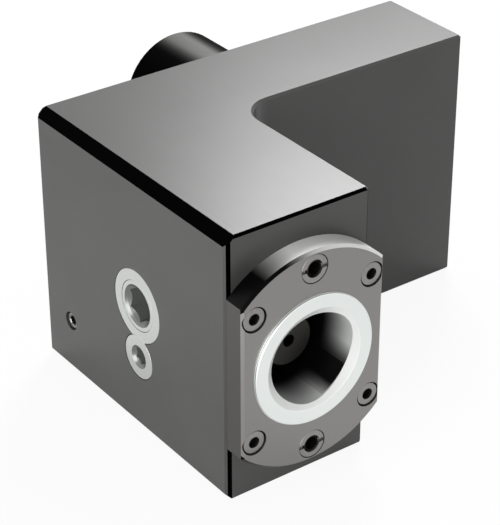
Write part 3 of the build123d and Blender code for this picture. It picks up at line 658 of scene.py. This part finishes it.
# A ring in its node's place: a circle of the section's radius carried round the axis, with the flash
# raised at its outermost and innermost places by a narrow bell curve of the sine of the section's angle.
def makeRubberRing(name, node, axis, columns):
    low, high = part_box(node)
    centre = np.array((low + high) / 2 / mm)
    size = np.array((high - low) / mm)
    section = size[axis] / 2
    around = max(size) / 2 - section
    flash = rubberRingSet["flash"]
    turn = np.linspace(0, 2 * np.pi, rubberRingSet["sectionSteps"] + 1)
    radius = section - flash + flash * np.exp(-((np.sin(turn) / rubberRingSet["flashWidth"]) ** 2))
    depths = radius * np.sin(turn)
    radii = list(around + radius * np.cos(turn))
    grid = ringSurface(centre, *directionsFrom(axis), depths, radii, columns)
    makePiece(name, [grid], "housing", "seal_rubber", [node], sharpDegrees=rubberRingSet["sharpDegrees"])


makeFlangeScrews()
makePlug("galleryPlug", "gallery_plug", 0)
makePlug("riserPlug", "riser_plug", 2)
makeRubberRing("shankSealRing", "shank_seal_ring", 1, 160)
makeRubberRing("inletSealRing", "inlet_seal_ring", 1, 96)
print("screws, plugs and rings made")

# Floor: a plain pale sheet under the block. The camera sees it nearly white, with a faint shadow, and
# the metal sees it half white. It throws plain light back at the object.
floorSet = {
    "halfSize": 6.0,
    "colour": "#f4f4f4",
    "cameraWhite": 0.92,  # share of plain white in what the camera sees there
    "mirrorWhite": 0.45,  # and in what glossy and clear surfaces see
}


def makeFloor():
    half = floorSet["halfSize"]
    z = bodyLow.z
    corners = [(-half, -half, z), (half, -half, z), (half, half, z), (-half, half, z)]
    mesh = bpy.data.meshes.new("floor")
    mesh.from_pydata(corners, [], [(0, 1, 2, 3)])
    floor = bpy.data.objects.new("floor", mesh)
    bpy.context.scene.collection.objects.link(floor)
    material = bpy.data.materials.new("paleFloor")
    material.use_nodes = True
    tree = material.node_tree
    tree.nodes.clear()
    rays = addNode(tree, "LightPath").outputs
    mirrored = joinMasks(tree, [rays["Is Glossy Ray"], rays["Is Transmission Ray"]], "MAXIMUM")
    share = joinMasks(tree, [
        joinMasks(tree, [rays["Is Camera Ray"], floorSet["cameraWhite"]]),
        joinMasks(tree, [mirrored, floorSet["mirrorWhite"]]),
    ], "MAXIMUM")
    matt = addNode(tree, "BsdfDiffuse", {"Color": linearColour(floorSet["colour"])}).outputs[0]
    white = addNode(tree, "Emission", {"Strength": 1.0}).outputs[0]
    mixed = addNode(tree, "MixShader", {0: share, 1: matt, 2: white}).outputs[0]
    addNode(tree, "OutputMaterial", {"Surface": mixed})
    mesh.materials.append(material)


# World: white where the camera or a mirror sees it, and a softer grey as light.
worldSet = {"light": 0.45}


def makeWorld():
    world = bpy.data.worlds.new("studio")
    bpy.context.scene.world = world
    world.use_nodes = True
    tree = world.node_tree
    tree.nodes.clear()
    rays = addNode(tree, "LightPath").outputs
    kinds = ("Is Camera Ray", "Is Glossy Ray", "Is Transmission Ray")
    seen = joinMasks(tree, [rays[kind] for kind in kinds], "MAXIMUM")
    strengthSockets = {"Value": seen, "To Min": worldSet["light"], "To Max": 1.0}
    strength = addNode(tree, "MapRange", strengthSockets).outputs[0]
    background = addNode(tree, "Background", {"Color": (1, 1, 1, 1), "Strength": strength}).outputs[0]
    addNode(tree, "OutputWorld", {"Surface": background})


# Lamps: square soft boxes, each turned to the point that it aims at, with the watts that this small
# object needs. Three stand behind it for the pale sheen on its top, and one beside it for its left side.
blockMiddle = (-0.03, -0.05, 0.0)
lampSets = {
    "cornerGlow": {"place": (0.20, 0.20, 0.32), "size": 0.14, "watts": 0.85, "aim": blockMiddle},
    "rimGlow": {"place": (0.18, 0.16, 0.42), "size": 0.14, "watts": 0.9, "aim": blockMiddle},
    "legGlow": {"place": (0.34, 0.24, 0.30), "size": 0.14, "watts": 0.22, "aim": blockMiddle},
    "flankGlow": {"place": (-0.33, -0.22, 0.04), "size": 0.32, "watts": 1.0, "aim": (-0.09, -0.08, 0.0)},
}


def makeLamps():
    for name, lampSet in lampSets.items():
        lamp = bpy.data.lights.new(name, "AREA")
        lamp.shape = "SQUARE"
        lamp.size = lampSet["size"]
        lamp.energy = lampSet["watts"]
        holder = bpy.data.objects.new(name, lamp)
        bpy.context.scene.collection.objects.link(holder)
        holder.location = lampSet["place"]
        holder.rotation_mode = "QUATERNION"
        away = Vector(lampSet["place"]) - Vector(lampSet["aim"])
        holder.rotation_quaternion = away.to_track_quat("Z", "Y")
        holder.visible_camera = False  # other views must not show it as a white square


# Camera: fitted to the photograph's outline, with the picture's long side on the sensor's width.
cameraSet = {
    "placeMm": (-344.815, -454.868, 297.733),
    "right": (0.80738, -0.59003, -0.00123),
    "up": (0.30243, 0.41204, 0.85951),
    "back": (-0.50663, -0.69433, 0.51111),
    "lensMm": 135.6,
    "sensorMm": 36.0,
}


def makeCamera():
    data = bpy.data.cameras.new("camera")
    data.lens = cameraSet["lensMm"]
    data.sensor_width = cameraSet["sensorMm"]
    camera = bpy.data.objects.new("camera", data)
    bpy.context.scene.collection.objects.link(camera)
    turn = Matrix((cameraSet["right"], cameraSet["up"], cameraSet["back"])).transposed()
    camera.rotation_mode = "QUATERNION"
    camera.rotation_quaternion = turn.to_quaternion()
    camera.location = [v * mm for v in cameraSet["placeMm"]]
    bpy.context.scene.camera = camera


makeFloor()
makeWorld()
makeLamps()
makeCamera()
bpy.context.scene.view_settings.view_transform = "Standard"
print("floor, light and camera placed")
